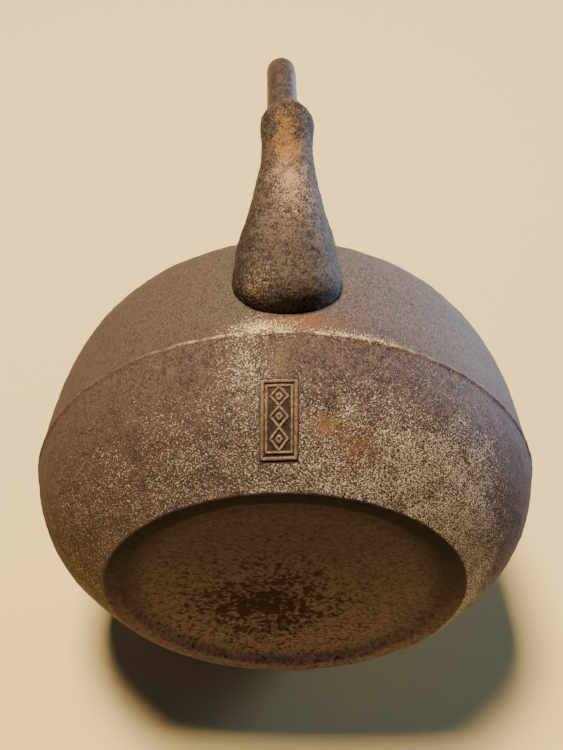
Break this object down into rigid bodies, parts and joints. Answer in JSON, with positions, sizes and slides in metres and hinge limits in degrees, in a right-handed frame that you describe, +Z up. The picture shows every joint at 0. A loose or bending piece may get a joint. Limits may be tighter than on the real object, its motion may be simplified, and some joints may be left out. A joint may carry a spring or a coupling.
{
  "type": "cast iron teapot",
  "caption": "Round cast iron water kettle with a shallow dish in its base, a slanted spout, a bail handle that falls sideways and a lift-off lid with a turned knob.",
  "frame": {"origin": "centre of the base, on the surface that the kettle stands on", "axes": "+Z up through the mouth, -Y towards the spout, X across; the handle arch stands in the YZ plane"},
  "size_m": [0.1712, 0.209, 0.235],
  "materials": {
    "cast_shell": "sand-cast iron, brown rust with pale scale",
    "cast_spout": "sand-cast iron, orange rust down the front",
    "forged_handle": "forged iron, smooth reddish-brown rust",
    "cast_lid": "sand-cast iron, brown rust",
    "lid_fittings": "turned iron, rubbed brown rust"
  },
  "bodies": {
    "kettle": {"kettle_body": "cast_shell", "spout": "cast_spout", "ear_front": "cast_shell", "ear_rear": "cast_shell"},
    "handle": {"handle_bar": "forged_handle", "handle_end_front": "forged_handle", "handle_end_rear": "forged_handle"},
    "lid": {"lid": "cast_lid", "knob_seat": "lid_fittings"},
    "knob": {"lid_knob": "lid_fittings", "knob_rivet": "lid_fittings", "rivet_washer": "lid_fittings"}
  },
  "joints": [
    {"name": "handle_swing", "type": "hinge", "parent": "kettle", "child": "handle", "pos_m": [0, 0, 0.118], "axis": [0, 1, 0], "range_deg": [-112, 112]},
    {"name": "lid_lift", "type": "slide", "parent": "kettle", "child": "lid", "axis": [0, 0, 1], "range_m": [0, 0.06]},
    {"name": "knob_turn", "type": "hinge", "parent": "lid", "child": "knob", "pos_m": [0, 0, 0.118], "axis": [0, 0, 1], "continuous": true}
  ]
}
